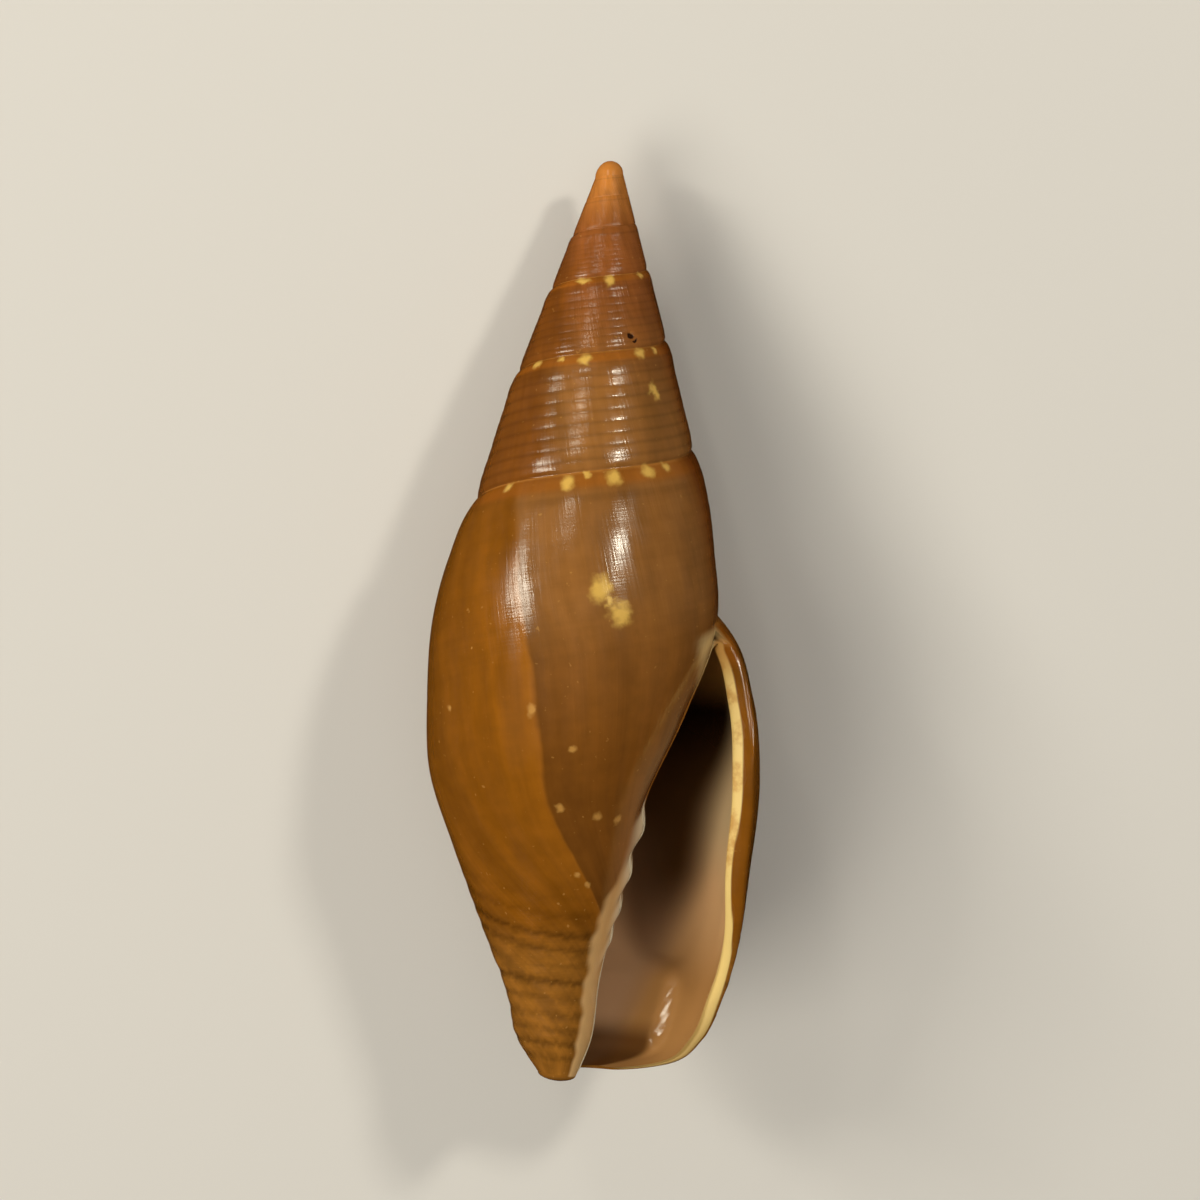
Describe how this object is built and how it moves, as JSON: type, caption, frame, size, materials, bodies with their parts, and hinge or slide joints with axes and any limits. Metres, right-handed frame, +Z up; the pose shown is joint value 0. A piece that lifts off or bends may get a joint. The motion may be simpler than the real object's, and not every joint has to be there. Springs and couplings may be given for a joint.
{
  "type": "mitre shell",
  "caption": "Slender spindle-shaped sea snail shell with a stepped pointed spire, a long narrow mouth, a folded pillar and an open canal, lying on its back.",
  "frame": {"origin": "middle of the footprint, on the surface that the shell lies on", "axes": "+Y along the coil axis towards the tip of the spire, +Z up out of the mouth side, +X towards the outer lip"},
  "size_m": [0.0146, 0.0396, 0.0128],
  "materials": {
    "shell": "glossy natural shell, chestnut brown with cream spots along the sutures"
  },
  "bodies": {
    "root": {"shell": "shell"}
  },
  "joints": []
}
